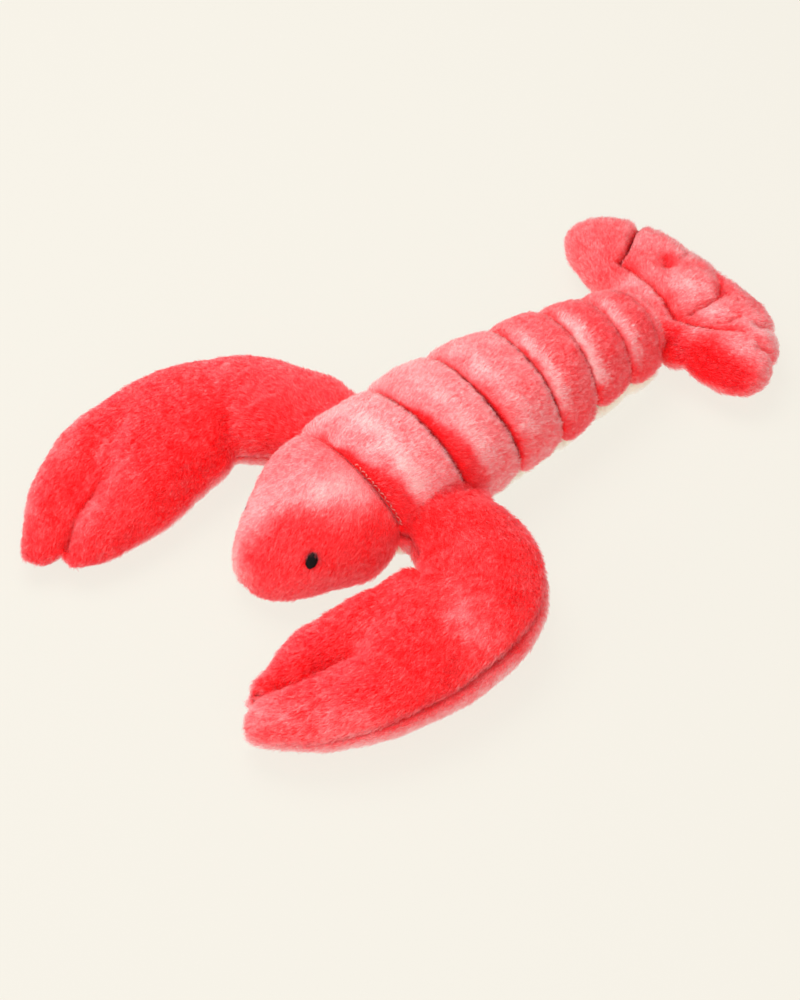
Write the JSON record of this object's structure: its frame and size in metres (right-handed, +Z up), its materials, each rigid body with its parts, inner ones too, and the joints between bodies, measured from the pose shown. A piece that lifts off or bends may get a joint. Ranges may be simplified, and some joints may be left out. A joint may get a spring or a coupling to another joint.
{
  "type": "plush lobster soft toy",
  "caption": "Stuffed lobster soft toy of red plush with a quilted back, cream belly, two soft claws and a puffy tail fan; it lies on its belly.",
  "frame": {"origin": "middle of the flat patch under the thorax that the toy lies on", "axes": "+Z up, -Y towards the head, +X towards the toy's own left claw"},
  "size_m": [0.3191, 0.4926, 0.0804],
  "materials": {
    "body_plush": "short silky pile",
    "claw_plush": "short silky pile",
    "cream_plush": "short silky pile",
    "fibrefill": "loose polyester wadding",
    "black_thread": "satin stitch"
  },
  "bodies": {
    "thorax": {"thorax_plush": "body_plush", "thorax_belly": "cream_plush", "thorax_filling": "fibrefill"},
    "head": {"head_plush": "body_plush", "head_belly": "cream_plush", "head_filling": "fibrefill", "left_eye": "black_thread", "right_eye": "black_thread"},
    "band_2": {"band_2_plush": "body_plush", "band_2_belly": "cream_plush", "band_2_filling": "fibrefill"},
    "band_3": {"band_3_plush": "body_plush", "band_3_belly": "cream_plush", "band_3_filling": "fibrefill"},
    "band_4": {"band_4_plush": "body_plush", "band_4_belly": "cream_plush", "band_4_filling": "fibrefill"},
    "band_5": {"band_5_plush": "body_plush", "band_5_belly": "cream_plush", "band_5_filling": "fibrefill"},
    "band_6": {"band_6_plush": "body_plush", "band_6_belly": "cream_plush", "band_6_filling": "fibrefill"},
    "tail_base": {"tail_base_plush": "body_plush", "tail_base_belly": "cream_plush", "tail_base_filling": "fibrefill"},
    "left_shoulder": {"left_shoulder_filling": "fibrefill"},
    "left_arm": {"left_arm_upper": "claw_plush", "left_arm_lower": "claw_plush", "left_arm_filling": "fibrefill"},
    "right_shoulder": {"right_shoulder_filling": "fibrefill"},
    "right_arm": {"right_arm_upper": "claw_plush", "right_arm_lower": "claw_plush", "right_arm_filling": "fibrefill"},
    "fan": {"fan_upper": "body_plush", "fan_lower": "body_plush", "fan_filling": "fibrefill"}
  },
  "joints": [
    {"name": "head_turn", "type": "hinge", "parent": "thorax", "child": "head", "pos_m": [0, -0.025, 0.0365], "axis": [0, 0, 1], "range_deg": [-5, 5], "stiffness_Nm_per_rad": 0.1},
    {"name": "tail_wag", "type": "hinge", "parent": "thorax", "child": "band_2", "pos_m": [0, 0.025, 0.037], "axis": [0, 0, 1], "range_deg": [-5, 5], "stiffness_Nm_per_rad": 0.1},
    {"name": "band_3_wag", "type": "hinge", "parent": "band_2", "child": "band_3", "pos_m": [0, 0.071, 0.0365], "axis": [0, 0, 1], "range_deg": [-5, 5], "stiffness_Nm_per_rad": 0.1},
    {"name": "band_4_wag", "type": "hinge", "parent": "band_3", "child": "band_4", "pos_m": [0, 0.112, 0.0345], "axis": [0, 0, 1], "range_deg": [-5, 5], "stiffness_Nm_per_rad": 0.1},
    {"name": "band_5_wag", "type": "hinge", "parent": "band_4", "child": "band_5", "pos_m": [0, 0.147, 0.032], "axis": [0, 0, 1], "range_deg": [-5, 5], "stiffness_Nm_per_rad": 0.1},
    {"name": "band_6_wag", "type": "hinge", "parent": "band_5", "child": "band_6", "pos_m": [0, 0.18, 0.029], "axis": [0, 0, 1], "range_deg": [-5, 5], "stiffness_Nm_per_rad": 0.1},
    {"name": "tail_base_wag", "type": "hinge", "parent": "band_6", "child": "tail_base", "pos_m": [0, 0.209, 0.026], "axis": [0, 0, 1], "range_deg": [-5, 5], "stiffness_Nm_per_rad": 0.1},
    {"name": "fan_fold", "type": "hinge", "parent": "tail_base", "child": "fan", "pos_m": [0.00082, 0.23278, 0.02], "axis": [0.9877, -0.1564, 0], "range_deg": [0, 15], "stiffness_Nm_per_rad": 0.1},
    {"name": "left_arm_swing", "type": "hinge", "parent": "thorax", "child": "left_shoulder", "pos_m": [0.042, 0, 0.029], "axis": [0, 0, 1], "range_deg": [-8, 6], "stiffness_Nm_per_rad": 0.1},
    {"name": "left_arm_lift", "type": "hinge", "parent": "left_shoulder", "child": "left_arm", "pos_m": [0.042, 0, 0.029], "axis": [-1, 0, 0], "range_deg": [0, 15]},
    {"name": "right_arm_swing", "type": "hinge", "parent": "thorax", "child": "right_shoulder", "pos_m": [-0.042, 0, 0.029], "axis": [0, 0, -1], "range_deg": [-8, 6], "stiffness_Nm_per_rad": 0.1},
    {"name": "right_arm_lift", "type": "hinge", "parent": "right_shoulder", "child": "right_arm", "pos_m": [-0.042, 0, 0.029], "axis": [-1, 0, 0], "range_deg": [0, 15]}
  ],
  "couplings": [
    {"joint": "band_3_wag", "follows": "tail_wag", "ratio": 1},
    {"joint": "band_4_wag", "follows": "tail_wag", "ratio": 1},
    {"joint": "band_5_wag", "follows": "tail_wag", "ratio": 1},
    {"joint": "band_6_wag", "follows": "tail_wag", "ratio": 1},
    {"joint": "tail_base_wag", "follows": "tail_wag", "ratio": 1}
  ]
}
